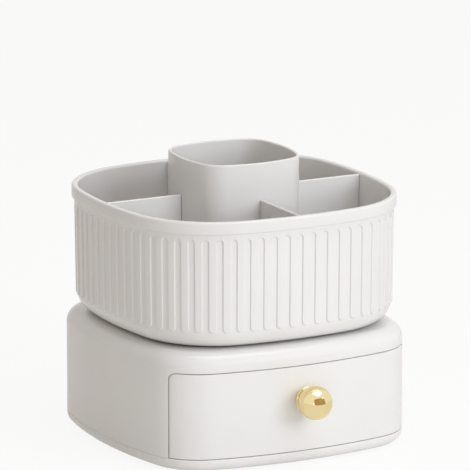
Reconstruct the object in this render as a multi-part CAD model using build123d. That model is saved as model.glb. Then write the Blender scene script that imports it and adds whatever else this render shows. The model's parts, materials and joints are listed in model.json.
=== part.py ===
from build123d import *
import os
from math import asin, atan2, cos, degrees, radians, sin, sqrt

# A make-up organizer in two storeys: a low base with one curved drawer, and on it a tray that
# turns on a ball bearing. Millimetres, +Z up, the drawer opens towards -Y.
# The origin is on the standing surface, under the axis that the tray turns about.

# ---------------------------------------------------------------- driving dimensions
BASE_WIDTH = 210.0
BASE_SIDE_RADIUS = 322.0
BASE_CORNER_RADIUS = 41.0

TRAY_WIDTH = 211.2
TRAY_SIDE_RADIUS = 294.0
TRAY_CORNER_RADIUS = 69.0

CUP_WIDTH = 84.0
CUP_SIDE_RADIUS = 93.0
CUP_CORNER_RADIUS = 20.0

FOOT_HEIGHT = 1.5
PAN_HEIGHT = 9.0
BASE_HEIGHT = 84.8
SHOULDER_RADIUS = 10.7
TURNTABLE_GAP = 1.1
TRAY_HEIGHT = 91.3
CUP_RISE_ABOVE_RIM = 25.1

PLASTIC_WALL = 2.5
PANEL_GAP = 0.5
SLIDE_GAP = 0.1
SCREW_FIT = 0.05
THROUGH_CUT = 1.0

# ---------------------------------------------------------------- heights above the floor
PAN_BOTTOM = FOOT_HEIGHT
PAN_TOP = PAN_BOTTOM + PAN_HEIGHT
BASE_TOP = PAN_BOTTOM + BASE_HEIGHT
TRAY_BOTTOM = BASE_TOP + TURNTABLE_GAP
RIM_TOP = TRAY_BOTTOM + TRAY_HEIGHT
CUP_TOP = RIM_TOP + CUP_RISE_ABOVE_RIM

# ---------------------------------------------------------------- pan, feet and case screws
PAN_EDGE_RADIUS = 8.0
FOOT_RADIUS = 8.0
FOOT_RECESS = 1.0
FOOT_OFFSET = 66.0
FOOT_EDGE_RADIUS = 0.5
CASE_SCREW_X = 96.8
CASE_SCREW_Y = 38.0
CASE_BOSS_RADIUS = 3.9
CASE_SCREW_SINK = 3.0
CASE_SCREW_LENGTH = 16.0
SCREW_RADIUS = 1.5
SCREW_HEAD_RADIUS = 2.8
SCREW_HEAD_HEIGHT = 1.8
SCREW_POINT_SHARE = 1.2
SCREW_TIP_SHARE = 0.3
SCREW_SLOT_SHARE = 0.25

# ---------------------------------------------------------------- drawer opening and drawer
OPENING_HALF_WIDTH = 92.8
HEADER_HEIGHT = 3.4
OPENING_TOP = BASE_TOP - SHOULDER_RADIUS - HEADER_HEIGHT
OPENING_CORNER_RADIUS = 4.3
OPENING_BACK_Y = -60.0
FRONT_THICKNESS = 3.0
BOX_WALL = 2.2
BOX_HALF_WIDTH = 86.0
BOX_BACK_Y = 80.0
BOX_CORNER_RADIUS = 12.0
BOX_FLOOR_RADIUS = 3.0
BOX_DROP = 6.0
BOX_TOP = OPENING_TOP - BOX_DROP
DRAWER_BOTTOM = PAN_TOP + PANEL_GAP
FRONT_SCREW_X = 45.0
FRONT_SCREW_HEIGHTS = (24.0, 56.0)
FRONT_SCREW_BITE = 2.4
SPOT_FACE_DEPTH = 0.2

# ---------------------------------------------------------------- knob
KNOB_RADIUS = 12.0
KNOB_STANDOFF = 16.8
KNOB_DROP = 23.3
KNOB_HEIGHT = OPENING_TOP - KNOB_DROP
KNOB_NECK_RADIUS = 4.6
KNOB_SCREW_RADIUS = 2.0
KNOB_SCREW_HEAD_RADIUS = 3.8
KNOB_SCREW_HEAD_HEIGHT = 2.4
KNOB_THREAD_DEPTH = 9.0
KNOB_WASHER_RADIUS = 5.0
COLLAR_RADIUS = 7.0
COLLAR_THICKNESS = 1.8
COLLAR_EDGE_RADIUS = 0.6

# ---------------------------------------------------------------- rails that carry the drawer
RAIL_LENGTH = 140.0
RAIL_CENTRE_Y = -5.0
RAIL_LEDGE = 8.0
RAIL_THICKNESS = 2.0
RAIL_GUIDE_HEIGHT = 7.0
RAIL_SIDE_GAP = 0.4
RAIL_TAB_LENGTH = 10.0
RAIL_TAB_WIDTH = 8.0
RAIL_TAB_Y = 20.0
RAIL_SCREW_LENGTH = 6.0
RAIL_POST_RADIUS = 3.5

# ---------------------------------------------------------------- stops that end the drawer's travel
DRAWER_TRAVEL = 130.0
STOP_TAB_BACK_Y = -77.5
STOP_TAB_DEPTH = 2.5
STOP_TAB_WIDTH = 8.0
STOP_SPARE = 0.3
STOP_LUG_LENGTH = 6.0
STOP_TAB_CLEARANCE = 1.2
STOP_LUG_CLEARANCE = 0.8

# ---------------------------------------------------------------- ball bearing
RECESS_RADIUS = 66.0
RECESS_DEPTH = 7.0
RACE_INNER_RADIUS = 44.0
RACE_OUTER_RADIUS = 62.0
RACE_THICKNESS = 3.0
BALL_CIRCLE_RADIUS = 54.0
BALL_RADIUS = 3.0
BALL_CLEARANCE = 0.1
BALL_COUNT = 18
CAGE_THICKNESS = 1.2
CAGE_HALF_WIDTH = 5.0
RACE_SCREW_CIRCLE = 47.4
RACE_SCREW_COUNT = 4
RACE_SCREW_LENGTH = 3.6
RACE_SCREW_SINK = 1.4
RACE_SCREW_HEAD_RADIUS = 2.4
RACE_SCREW_HEAD_HEIGHT = 1.2
RACE_SCREW_ANGLE = 45.0
BLIND_HOLE_SKIN = 0.4

# ---------------------------------------------------------------- pivot bolt
PIVOT_RADIUS = 4.0
PIVOT_THREAD_RADIUS = 3.0
PIVOT_CLEARANCE = 0.06
PIVOT_HEAD_RADIUS = 8.0
PIVOT_HEAD_HEIGHT = 3.0
HUB_RADIUS = 11.0
HUB_RISE = 2.0
WASHER_THICKNESS = 1.0
PIVOT_WASHER_RADIUS = 9.0
NUT_WASHER_RADIUS = 6.5
NUT_ACROSS_FLATS = 10.0
NUT_HEIGHT = 2.6

# ---------------------------------------------------------------- tray
RIM_BAND_HEIGHT = 8.8
RIM_PROUD = 1.7
RIM_EDGE_RADIUS = 1.6
RIM_WIDTH = 4.5
TRAY_WALL = 2.8
TRAY_FLOOR = 2.6
TRAY_TAPER = 1.1
TRAY_BOTTOM_RADIUS = 13.9
FLUTE_COUNT = 70
FLUTE_SHARE = 0.475
FLUTE_DEPTH = 0.8
FLUTE_TOP_DROP = 13.2
BEAD_BOTTOM_RISE = 12.4
FLUTE_STEP = 0.05
BEAD_END_ARC = 75.0

# ---------------------------------------------------------------- cup
CUP_WALL = 2.2
CUP_FLOOR = 2.4
CUP_FLOOR_RISE = 8.0
CUP_LIP_RADIUS = 0.9
CUP_FLOOR_RADIUS = 3.0
CUP_BOSS_OFFSET = 24.0
CUP_BOSS_RADIUS = 4.0
CUP_SCREW_LENGTH = 8.0

# ---------------------------------------------------------------- dividers
DIVIDER_THICKNESS = 2.2
DIVIDER_DROP = 1.2
DIVIDER_END_GAP = 0.3
DIVIDER_EDGE_RADIUS = 0.8
CHANNEL_GAP = 0.1
CHANNEL_RIB = 1.4
CHANNEL_HEIGHT = 2.5

# ---------------------------------------------------------------- worked-out places
RECESS_FLOOR = BASE_TOP - RECESS_DEPTH
CEILING = RECESS_FLOOR - PLASTIC_WALL
BALL_CENTRE = (RECESS_FLOOR + TRAY_BOTTOM) / 2
TRAY_FLOOR_TOP = TRAY_BOTTOM + TRAY_FLOOR
CUP_FLOOR_BOTTOM = TRAY_FLOOR_TOP + CUP_FLOOR_RISE
BAND_BOTTOM = RIM_TOP - RIM_BAND_HEIGHT
WALL_TOP = RIM_TOP - RIM_EDGE_RADIUS
RAIL_BOTTOM = DRAWER_BOTTOM - SLIDE_GAP - RAIL_THICKNESS
GUIDE_INNER = BOX_HALF_WIDTH + RAIL_SIDE_GAP
GUIDE_OUTER = GUIDE_INNER + RAIL_THICKNESS
FRONT_Y = -BASE_WIDTH / 2
KNOB_SEAT = SPOT_FACE_DEPTH - FRONT_THICKNESS - BOX_WALL


# ---------------------------------------------------------------- plan outlines
class Plan:
    """A square with bulged sides and round corners. An inset moves the whole outline inwards."""

    def __init__(self, width, side_radius, corner_radius):
        self.half = width / 2
        self.side = side_radius
        self.corner = corner_radius
        self.side_centre = side_radius - self.half
        reach = side_radius - corner_radius
        self.corner_centre = (sqrt(2 * reach**2 - self.side_centre**2) - self.side_centre) / 2
        self.side_angle = degrees(atan2(self.corner_centre, self.corner_centre + self.side_centre))

    def wire(self, inset=0.0, z=0.0):
        """The outline as eight tangent arcs, starting at the left end of the -Y side."""
        sweep = 2 * self.side_angle
        arcs = []
        for quarter in range(4):
            turn = -90 + 90 * quarter
            side_at = Vector(-self.side_centre, 0, 0).rotate(Axis.Z, turn)
            corner_at = Vector(self.corner_centre, self.corner_centre, 0).rotate(Axis.Z, turn)
            arcs.append(CenterArc(side_at, self.side - inset, turn - self.side_angle, sweep))
            arcs.append(CenterArc(corner_at, self.corner - inset, turn + self.side_angle, 90 - sweep))
        return Wire([edge for arc in arcs for edge in arc.edges()]).moved(Location((0, 0, z)))

    def face(self, inset=0.0, z=0.0):
        return Face(self.wire(inset, z))

    def block(self, low, high, inset=0.0):
        return Solid.extrude(self.face(inset, low), Vector(0, 0, high - low))

    def tapered_block(self, low, high, low_inset, high_inset):
        return Solid.make_loft([self.wire(low_inset, low), self.wire(high_inset, high)], ruled=True)

    def reach(self, across, inset=0.0):
        """How far from the centre line the outline is, at a distance across from it."""
        radius = self.side - inset
        if abs(across) <= radius * sin(radians(self.side_angle)):
            return sqrt(radius**2 - across**2) - self.side_centre
        return self.corner_centre + sqrt((self.corner - inset) ** 2 - (abs(across) - self.corner_centre) ** 2)

    def front_place(self, x, z, inset):
        """A place under x on the -Y side, moved in along the normal, with Z along the outward normal."""
        turn = degrees(asin(x / self.side))
        return Pos(x, -self.reach(x), z) * Rot(90, 0, 0) * Rot(0, turn, 0) * Pos(0, 0, -inset)


BASE = Plan(BASE_WIDTH, BASE_SIDE_RADIUS, BASE_CORNER_RADIUS)
TRAY = Plan(TRAY_WIDTH, TRAY_SIDE_RADIUS, TRAY_CORNER_RADIUS)
CUP = Plan(CUP_WIDTH, CUP_SIDE_RADIUS, CUP_CORNER_RADIUS)


# ---------------------------------------------------------------- general shapes
def disc(radius, low, high, place=(0.0, 0.0)):
    return Pos(place[0], place[1], (low + high) / 2) * Cylinder(radius, high - low)


def ring(inner, outer, low, high):
    return disc(outer, low, high) - disc(inner, low - THROUGH_CUT, high + THROUGH_CUT)


def slab(x0, x1, y0, y1, z0, z1):
    return Pos((x0 + x1) / 2, (y0 + y1) / 2, (z0 + z1) / 2) * Box(abs(x1 - x0), y1 - y0, z1 - z0)


def edges_at(shape, z):
    """The edges that lie flat at a height."""
    boxes = [(edge, edge.bounding_box()) for edge in shape.edges()]
    return [edge for edge, box in boxes if max(abs(box.min.Z - z), abs(box.max.Z - z)) < SCREW_FIT / 10]


def circle_places(radius, count, first_angle=0.0):
    angles = [radians(first_angle + 360 * i / count) for i in range(count)]
    return [(radius * cos(a), radius * sin(a)) for a in angles]


def corner_places(x, y):
    return [(side * x, end * y) for side in (-1, 1) for end in (-1, 1)]


def screw(length, radius, head, head_height):
    """A cross-slotted pan-head screw along +Z, with the underside of its head at z = 0."""
    point = radius * SCREW_POINT_SHARE
    top = disc(head, -head_height, 0)
    top = fillet(edges_at(top, -head_height), head_height / 2)
    body = top + disc(radius, 0, length - point)
    body += Pos(0, 0, length - point / 2) * Cone(radius, radius * SCREW_TIP_SHARE, point)
    for turn in (0, 90):
        body -= Pos(0, 0, -head_height) * Rot(0, 0, turn) * Box(head, head * SCREW_SLOT_SHARE, head_height)
    return body


def case_screw(length):
    return screw(length, SCREW_RADIUS, SCREW_HEAD_RADIUS, SCREW_HEAD_HEIGHT)


def group(pieces):
    return Compound(children=list(pieces))


HEAD_DOWN = Rot(0, 0, 0)
HEAD_UP = Rot(180, 0, 0)


# ---------------------------------------------------------------- base
def opening_block(shrink, front_y, back_y, bottom):
    """The drawer opening as a block, square at the bottom and with round top corners."""
    half = OPENING_HALF_WIDTH - shrink
    block = slab(-half, half, front_y, back_y, bottom, OPENING_TOP - shrink)
    top_corners = block.edges().filter_by(Axis.Y).group_by(Axis.Z)[-1]
    return fillet(top_corners, OPENING_CORNER_RADIUS - shrink)


def rail_tab_places():
    x = GUIDE_OUTER + RAIL_TAB_WIDTH / 2
    return [(side * x, RAIL_CENTRE_Y + end * RAIL_TAB_Y) for side in (-1, 1) for end in (-1, 1)]


def base_bottom_pan():
    pan = BASE.block(PAN_BOTTOM, PAN_TOP)
    pan = fillet(edges_at(pan, PAN_BOTTOM), PAN_EDGE_RADIUS)
    floor_top = PAN_BOTTOM + PLASTIC_WALL
    hollow = BASE.block(floor_top, PAN_TOP + THROUGH_CUT, PLASTIC_WALL)
    pan -= fillet(edges_at(hollow, floor_top), PAN_EDGE_RADIUS - PLASTIC_WALL)
    for side in (-1, 1):
        pan += slab(
            side * (GUIDE_OUTER - PLASTIC_WALL),
            side * GUIDE_OUTER,
            RAIL_CENTRE_Y - RAIL_LENGTH / 2,
            RAIL_CENTRE_Y + RAIL_LENGTH / 2,
            floor_top,
            RAIL_BOTTOM,
        )
    for place in rail_tab_places():
        pan += disc(RAIL_POST_RADIUS, floor_top, RAIL_BOTTOM, place)
        pan -= disc(SCREW_RADIUS + SCREW_FIT, floor_top, PAN_TOP, place)
    for place in corner_places(CASE_SCREW_X, CASE_SCREW_Y):
        pan += disc(CASE_BOSS_RADIUS, floor_top, PAN_TOP, place)
        pan -= disc(SCREW_RADIUS + SCREW_FIT, PAN_BOTTOM, PAN_TOP + THROUGH_CUT, place)
        pan -= disc(SCREW_HEAD_RADIUS + SCREW_FIT, 0, PAN_BOTTOM + CASE_SCREW_SINK, place)
    for place in corner_places(FOOT_OFFSET, FOOT_OFFSET):
        pan -= disc(FOOT_RADIUS, 0, PAN_BOTTOM + FOOT_RECESS, place)
    return pan


def base_housing():
    """Walls, rounded shoulder and top in one shell, with the recess that the bearing lies in."""
    shell = BASE.block(PAN_TOP, BASE_TOP)
    shell = fillet(edges_at(shell, BASE_TOP), SHOULDER_RADIUS)
    outer = shell
    hollow = BASE.block(PAN_TOP - THROUGH_CUT, BASE_TOP - PLASTIC_WALL, PLASTIC_WALL)
    hollow = fillet(edges_at(hollow, BASE_TOP - PLASTIC_WALL), SHOULDER_RADIUS - PLASTIC_WALL)
    shell = shell - hollow
    shell += disc(RECESS_RADIUS + PLASTIC_WALL, CEILING, BASE_TOP - PLASTIC_WALL / 2)
    shell -= disc(RECESS_RADIUS, RECESS_FLOOR, BASE_TOP + THROUGH_CUT)
    shell += disc(HUB_RADIUS, RECESS_FLOOR - PLASTIC_WALL / 2, RECESS_FLOOR + HUB_RISE)
    shell -= disc(PIVOT_THREAD_RADIUS + SCREW_FIT, CEILING - THROUGH_CUT, BASE_TOP)
    for place in race_screw_places():
        shell -= disc(SCREW_RADIUS + SCREW_FIT, CEILING + BLIND_HOLE_SKIN, BASE_TOP, place)
    for place in corner_places(CASE_SCREW_X, CASE_SCREW_Y):
        boss = disc(CASE_BOSS_RADIUS, PAN_TOP, BASE_TOP - PLASTIC_WALL, place)
        shell += boss & outer
        shell -= disc(SCREW_RADIUS + SCREW_FIT, PAN_TOP - THROUGH_CUT, PAN_TOP + CASE_SCREW_LENGTH, place)
    shell -= opening_block(0, 2 * FRONT_Y, OPENING_BACK_Y, PAN_TOP - THROUGH_CUT)
    for side in (-1, 1):
        stop_tab = slab(
            side * (BOX_HALF_WIDTH - STOP_TAB_WIDTH),
            side * BOX_HALF_WIDTH,
            STOP_TAB_BACK_Y - STOP_TAB_DEPTH,
            STOP_TAB_BACK_Y,
            BOX_TOP + STOP_TAB_CLEARANCE,
            BASE_TOP - PLASTIC_WALL / 2,
        )
        shell += stop_tab & outer
    return shell


def rubber_feet():
    feet = []
    for place in corner_places(FOOT_OFFSET, FOOT_OFFSET):
        foot = disc(FOOT_RADIUS, 0, PAN_BOTTOM + FOOT_RECESS, place)
        feet.append(fillet(edges_at(foot, 0), FOOT_EDGE_RADIUS))
    return group(feet)


def case_screws():
    seat = PAN_BOTTOM + CASE_SCREW_SINK
    places = corner_places(CASE_SCREW_X, CASE_SCREW_Y)
    return group(Pos(x, y, seat) * case_screw(CASE_SCREW_LENGTH) for x, y in places)


def drawer_rail(side):
    """An L of slippery plastic: a ledge under the drawer, a guide beside it and two screw tabs."""
    y0 = RAIL_CENTRE_Y - RAIL_LENGTH / 2
    y1 = RAIL_CENTRE_Y + RAIL_LENGTH / 2
    top = RAIL_BOTTOM + RAIL_THICKNESS
    rail = slab(side * (GUIDE_OUTER - RAIL_LEDGE), side * GUIDE_OUTER, y0, y1, RAIL_BOTTOM, top)
    rail += slab(side * GUIDE_INNER, side * GUIDE_OUTER, y0, y1, RAIL_BOTTOM, top + RAIL_GUIDE_HEIGHT)
    for x, y in rail_tab_places():
        if x * side > 0:
            tab = slab(
                side * (GUIDE_INNER + SLIDE_GAP),
                side * (GUIDE_OUTER + RAIL_TAB_WIDTH),
                y - RAIL_TAB_LENGTH / 2,
                y + RAIL_TAB_LENGTH / 2,
                RAIL_BOTTOM,
                top,
            )
            rail += tab
            rail -= disc(SCREW_RADIUS + SCREW_FIT, RAIL_BOTTOM - THROUGH_CUT, top + THROUGH_CUT, (x, y))
    return rail


def rail_screws():
    seat = RAIL_BOTTOM + RAIL_THICKNESS
    return group(Pos(x, y, seat) * HEAD_UP * case_screw(RAIL_SCREW_LENGTH) for x, y in rail_tab_places())


# ---------------------------------------------------------------- drawer
def drawer_box():
    box_plan = BASE.block(DRAWER_BOTTOM, BOX_TOP, FRONT_THICKNESS)
    limits = slab(-BOX_HALF_WIDTH, BOX_HALF_WIDTH, 2 * FRONT_Y, BOX_BACK_Y, DRAWER_BOTTOM, BOX_TOP)
    limits = fillet(limits.edges().filter_by(Axis.Z).group_by(Axis.Y)[-1], BOX_CORNER_RADIUS)
    box = box_plan & limits
    floor_top = DRAWER_BOTTOM + BOX_WALL
    inner_plan = BASE.block(floor_top, BOX_TOP + THROUGH_CUT, FRONT_THICKNESS + BOX_WALL)
    inner_half = BOX_HALF_WIDTH - BOX_WALL
    hollow = slab(
        -inner_half,
        inner_half,
        2 * FRONT_Y,
        BOX_BACK_Y - BOX_WALL,
        floor_top,
        BOX_TOP + THROUGH_CUT,
    )
    hollow = fillet(hollow.edges().filter_by(Axis.Z).group_by(Axis.Y)[-1], BOX_CORNER_RADIUS - BOX_WALL)
    hollow = hollow & inner_plan
    hollow = fillet(edges_at(hollow, floor_top), BOX_FLOOR_RADIUS)
    box -= hollow
    lug_front = STOP_TAB_BACK_Y + DRAWER_TRAVEL + STOP_SPARE
    for side in (-1, 1):
        box += slab(
            side * inner_half,
            side * BOX_HALF_WIDTH,
            lug_front,
            lug_front + STOP_LUG_LENGTH,
            BOX_TOP - THROUGH_CUT,
            OPENING_TOP - STOP_LUG_CLEARANCE,
        )
    for place in front_screw_places():
        box -= place * Cylinder(SCREW_RADIUS + SCREW_FIT, 3 * BOX_WALL)
        box -= place * disc(SCREW_HEAD_RADIUS + SPOT_FACE_DEPTH, -BOX_WALL, 0)
    washer_spot = disc(KNOB_WASHER_RADIUS + SPOT_FACE_DEPTH, KNOB_SEAT - BOX_WALL, KNOB_SEAT)
    box -= knob_axis_place() * washer_spot
    return box - knob_axis_place() * Cylinder(KNOB_SCREW_RADIUS + SCREW_FIT, BASE_WIDTH / 2)


def drawer_front():
    """The visible panel: it follows the base's own outline and wraps round both front corners."""
    panel = BASE.block(DRAWER_BOTTOM, OPENING_TOP) - BASE.block(0, BASE_TOP, FRONT_THICKNESS)
    panel = panel & opening_block(PANEL_GAP, 2 * FRONT_Y, OPENING_BACK_Y, DRAWER_BOTTOM)
    for place in front_screw_places():
        panel -= place * disc(SCREW_RADIUS + SCREW_FIT, 0, front_screw_length() + SCREW_FIT)
    return panel - knob_axis_place() * Cylinder(KNOB_SCREW_RADIUS + SCREW_FIT, BASE_WIDTH / 2)


def front_screw_places():
    """The seats of the screw heads, on flat spots inside the front wall of the box."""
    inset = FRONT_THICKNESS + BOX_WALL - SPOT_FACE_DEPTH
    return [BASE.front_place(side * FRONT_SCREW_X, z, inset) for side in (-1, 1) for z in FRONT_SCREW_HEIGHTS]


def front_screw_length():
    return BOX_WALL - SPOT_FACE_DEPTH + FRONT_SCREW_BITE


def drawer_front_screws():
    return group(place * case_screw(front_screw_length()) for place in front_screw_places())


def knob_axis_place():
    """On the front surface of the panel, with Z along the knob, away from the drawer."""
    return Pos(0, FRONT_Y, KNOB_HEIGHT) * Rot(90, 0, 0)


def drawer_knob():
    neck_length = KNOB_STANDOFF - COLLAR_THICKNESS
    knob = Pos(0, 0, KNOB_STANDOFF) * Sphere(KNOB_RADIUS)
    knob += Pos(0, 0, COLLAR_THICKNESS + neck_length / 2) * Cylinder(KNOB_NECK_RADIUS, neck_length)
    hole_end = COLLAR_THICKNESS + KNOB_THREAD_DEPTH
    knob -= Pos(0, 0, hole_end / 2) * Cylinder(KNOB_SCREW_RADIUS + SCREW_FIT, hole_end)
    return knob_axis_place() * knob


def knob_collar():
    collar = disc(COLLAR_RADIUS, 0, COLLAR_THICKNESS)
    collar = fillet(edges_at(collar, COLLAR_THICKNESS), COLLAR_EDGE_RADIUS)
    collar -= Cylinder(KNOB_SCREW_RADIUS + SCREW_FIT, BASE_WIDTH / 2)
    return knob_axis_place() * collar


def knob_washer():
    low = KNOB_SEAT - WASHER_THICKNESS
    return knob_axis_place() * ring(KNOB_SCREW_RADIUS + SCREW_FIT, KNOB_WASHER_RADIUS, low, KNOB_SEAT)


def knob_screw():
    head_seat = KNOB_SEAT - WASHER_THICKNESS
    length = COLLAR_THICKNESS + KNOB_THREAD_DEPTH - THROUGH_CUT - head_seat
    body = screw(length, KNOB_SCREW_RADIUS, KNOB_SCREW_HEAD_RADIUS, KNOB_SCREW_HEAD_HEIGHT)
    return knob_axis_place() * Pos(0, 0, head_seat) * body


# ---------------------------------------------------------------- ball bearing and pivot
def race(face, back):
    """A flat ring with a round groove for the balls. face is the side that the balls run on."""
    low, high = min(face, back), max(face, back)
    body = ring(RACE_INNER_RADIUS, RACE_OUTER_RADIUS, low, high)
    body -= Pos(0, 0, BALL_CENTRE) * Torus(BALL_CIRCLE_RADIUS, BALL_RADIUS + BALL_CLEARANCE)
    for place in race_screw_places():
        body -= disc(SCREW_RADIUS + SCREW_FIT, low - THROUGH_CUT, high + THROUGH_CUT, place)
        well = disc(RACE_SCREW_HEAD_RADIUS + SCREW_FIT, face - RACE_SCREW_SINK, face + RACE_SCREW_SINK, place)
        body -= well
    return body


def race_screw_places():
    return circle_places(RACE_SCREW_CIRCLE, RACE_SCREW_COUNT, RACE_SCREW_ANGLE)


def lower_race():
    return race(RECESS_FLOOR + RACE_THICKNESS, RECESS_FLOOR)


def upper_race():
    return race(TRAY_BOTTOM - RACE_THICKNESS, TRAY_BOTTOM)


def race_screws(seat, turn):
    body = screw(RACE_SCREW_LENGTH, SCREW_RADIUS, RACE_SCREW_HEAD_RADIUS, RACE_SCREW_HEAD_HEIGHT)
    return group(Pos(x, y, seat) * turn * body for x, y in race_screw_places())


def lower_race_screws():
    return race_screws(RECESS_FLOOR + RACE_THICKNESS - RACE_SCREW_SINK, HEAD_UP)


def upper_race_screws():
    return race_screws(TRAY_BOTTOM - RACE_THICKNESS + RACE_SCREW_SINK, HEAD_DOWN)


def bearing_balls():
    places = circle_places(BALL_CIRCLE_RADIUS, BALL_COUNT)
    return group(Pos(x, y, BALL_CENTRE) * Sphere(BALL_RADIUS) for x, y in places)


def ball_cage():
    cage = ring(
        BALL_CIRCLE_RADIUS - CAGE_HALF_WIDTH,
        BALL_CIRCLE_RADIUS + CAGE_HALF_WIDTH,
        BALL_CENTRE - CAGE_THICKNESS / 2,
        BALL_CENTRE + CAGE_THICKNESS / 2,
    )
    for x, y in circle_places(BALL_CIRCLE_RADIUS, BALL_COUNT):
        cage -= disc(BALL_RADIUS + BALL_CLEARANCE, RECESS_FLOOR, TRAY_BOTTOM, (x, y))
    return cage


def pivot_bolt():
    """A shoulder bolt: the shoulder stands on the base's hub, and the tray turns about it."""
    shoulder_low = RECESS_FLOOR + HUB_RISE
    head_low = TRAY_FLOOR_TOP + HUB_RISE + WASHER_THICKNESS + 2 * SLIDE_GAP
    thread_low = CEILING - WASHER_THICKNESS - NUT_HEIGHT - SCREW_FIT
    bolt = disc(PIVOT_HEAD_RADIUS, head_low, head_low + PIVOT_HEAD_HEIGHT)
    bolt = fillet(edges_at(bolt, head_low + PIVOT_HEAD_HEIGHT), PIVOT_HEAD_HEIGHT / 3)
    bolt += disc(PIVOT_RADIUS, shoulder_low, head_low)
    return bolt + disc(PIVOT_THREAD_RADIUS, thread_low, shoulder_low)


def pivot_washer():
    low = TRAY_FLOOR_TOP + HUB_RISE + SLIDE_GAP
    return ring(PIVOT_RADIUS + SCREW_FIT, PIVOT_WASHER_RADIUS, low, low + WASHER_THICKNESS)


def nut_washer():
    return ring(PIVOT_THREAD_RADIUS + SCREW_FIT, NUT_WASHER_RADIUS, CEILING - WASHER_THICKNESS, CEILING)


def pivot_nut():
    top = CEILING - WASHER_THICKNESS
    hexagon = RegularPolygon(NUT_ACROSS_FLATS / 2, 6, major_radius=False)
    nut = Pos(0, 0, top - NUT_HEIGHT) * extrude(hexagon, NUT_HEIGHT)
    return nut - disc(PIVOT_THREAD_RADIUS + SCREW_FIT, CEILING - 3 * NUT_HEIGHT, CEILING)


# ---------------------------------------------------------------- tray
def wall_inset(z):
    """The tray wall leans in a little towards its foot. This is its inset from the rim, at a height."""
    return RIM_PROUD + TRAY_TAPER * (WALL_TOP - z) / (WALL_TOP - TRAY_BOTTOM)


def flute_cutter(width, pitch, height):
    """A prism that cuts the gap between two beads: round at its top, flaring round their ends at its bottom."""
    half = width / 2
    bead_half = (pitch - width) / 2
    low = -height / 2
    crown = height / 2 - half
    shoulder = low + bead_half * sin(radians(BEAD_END_ARC))
    foot = pitch / 2 - bead_half * cos(radians(BEAD_END_ARC))
    outline = [
        Line((-foot, low - THROUGH_CUT), (foot, low - THROUGH_CUT)),
        Line((foot, low - THROUGH_CUT), (foot, low)),
        CenterArc((pitch / 2, shoulder), bead_half, 180, BEAD_END_ARC),
        Line((half, shoulder), (half, crown)),
        CenterArc((0, crown), half, 0, 180),
        Line((-half, crown), (-half, shoulder)),
        CenterArc((-pitch / 2, shoulder), bead_half, -BEAD_END_ARC, BEAD_END_ARC),
        Line((-foot, low), (-foot, low - THROUGH_CUT)),
    ]
    face = make_face([edge for line in outline for edge in line.edges()])
    return Pos(0, 0, -FLUTE_DEPTH) * extrude(face, FLUTE_DEPTH + RIM_PROUD)


def flute_places(z):
    """One place on the leaning wall for each flute, with Z outwards and Y up the wall."""
    outline = TRAY.wire(wall_inset(z), z)
    pitch = outline.length / FLUTE_COUNT
    front_middle = radians(TRAY.side_angle) * (TRAY.side - wall_inset(z))
    first = front_middle - pitch * FLUTE_SHARE / 2
    places = []
    for i in range(FLUTE_COUNT):
        at = outline.position_at((first + i * pitch) % outline.length, position_mode=PositionMode.LENGTH)
        along = outline.tangent_at((first + i * pitch) % outline.length, position_mode=PositionMode.LENGTH)
        outward = along.cross(Vector(0, 0, 1)) - Vector(0, 0, TRAY_TAPER / (WALL_TOP - TRAY_BOTTOM))
        places.append(Plane(origin=at, x_dir=along, z_dir=outward).location)
    return places, pitch


def tray_layer(low, high, depth):
    """The tray's outer form between two heights, moved in from the bead level by a depth."""
    return TRAY.tapered_block(low, high, wall_inset(low) + depth, wall_inset(high) + depth)


def fluted_block():
    """The tray's outer form: a plain rounded foot, and above it beads with round ends between flutes."""
    low = TRAY_BOTTOM + BEAD_BOTTOM_RISE
    high = RIM_TOP - FLUTE_TOP_DROP
    foot = tray_layer(TRAY_BOTTOM, high, FLUTE_DEPTH + FLUTE_STEP)
    foot = fillet(edges_at(foot, TRAY_BOTTOM), TRAY_BOTTOM_RADIUS)
    places, pitch = flute_places((low + high) / 2)
    cutter = flute_cutter(pitch * FLUTE_SHARE, pitch, high - low)
    beaded = tray_layer(low, WALL_TOP, 0) - [place * cutter for place in places]
    return foot + beaded


def tray_rim():
    """The proud band round the top of the wall, with both of its top edges rounded."""
    rim = TRAY.block(BAND_BOTTOM, RIM_TOP) - TRAY.block(0, CUP_TOP, RIM_WIDTH)
    return fillet(edges_at(rim, RIM_TOP), RIM_EDGE_RADIUS)


def tray_shell():
    """Floor, fluted wall and rim in one moulding, which leaves its mould upwards and downwards."""
    hollow = tray_layer(TRAY_FLOOR_TOP, RIM_TOP, TRAY_WALL)
    hollow = fillet(edges_at(hollow, TRAY_FLOOR_TOP), TRAY_BOTTOM_RADIUS - TRAY_FLOOR)
    shell = fluted_block() - hollow + tray_rim()
    shell += disc(HUB_RADIUS, TRAY_FLOOR_TOP - TRAY_FLOOR / 2, TRAY_FLOOR_TOP + HUB_RISE)
    shell -= disc(PIVOT_RADIUS + PIVOT_CLEARANCE, TRAY_BOTTOM - THROUGH_CUT, CUP_FLOOR_BOTTOM)
    for place in corner_places(CUP_BOSS_OFFSET, CUP_BOSS_OFFSET):
        shell -= disc(SCREW_RADIUS + SCREW_FIT, TRAY_BOTTOM - THROUGH_CUT, CUP_FLOOR_BOTTOM, place)
    hole_end = TRAY_FLOOR_TOP - BLIND_HOLE_SKIN
    for place in race_screw_places():
        shell -= disc(SCREW_RADIUS + SCREW_FIT, TRAY_BOTTOM - THROUGH_CUT, hole_end, place)
    return shell + channel_ribs()


def divider_span():
    """Where a divider starts and ends, out from the axis: clear of the cup and of the tray's wall."""
    start = CUP_WIDTH / 2 + DIVIDER_END_GAP
    end_low = TRAY_WIDTH / 2 - wall_inset(TRAY_FLOOR_TOP) - TRAY_WALL - DIVIDER_END_GAP
    end_high = TRAY_WIDTH / 2 - wall_inset(WALL_TOP) - TRAY_WALL - DIVIDER_END_GAP
    return start, end_low, end_high


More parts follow.
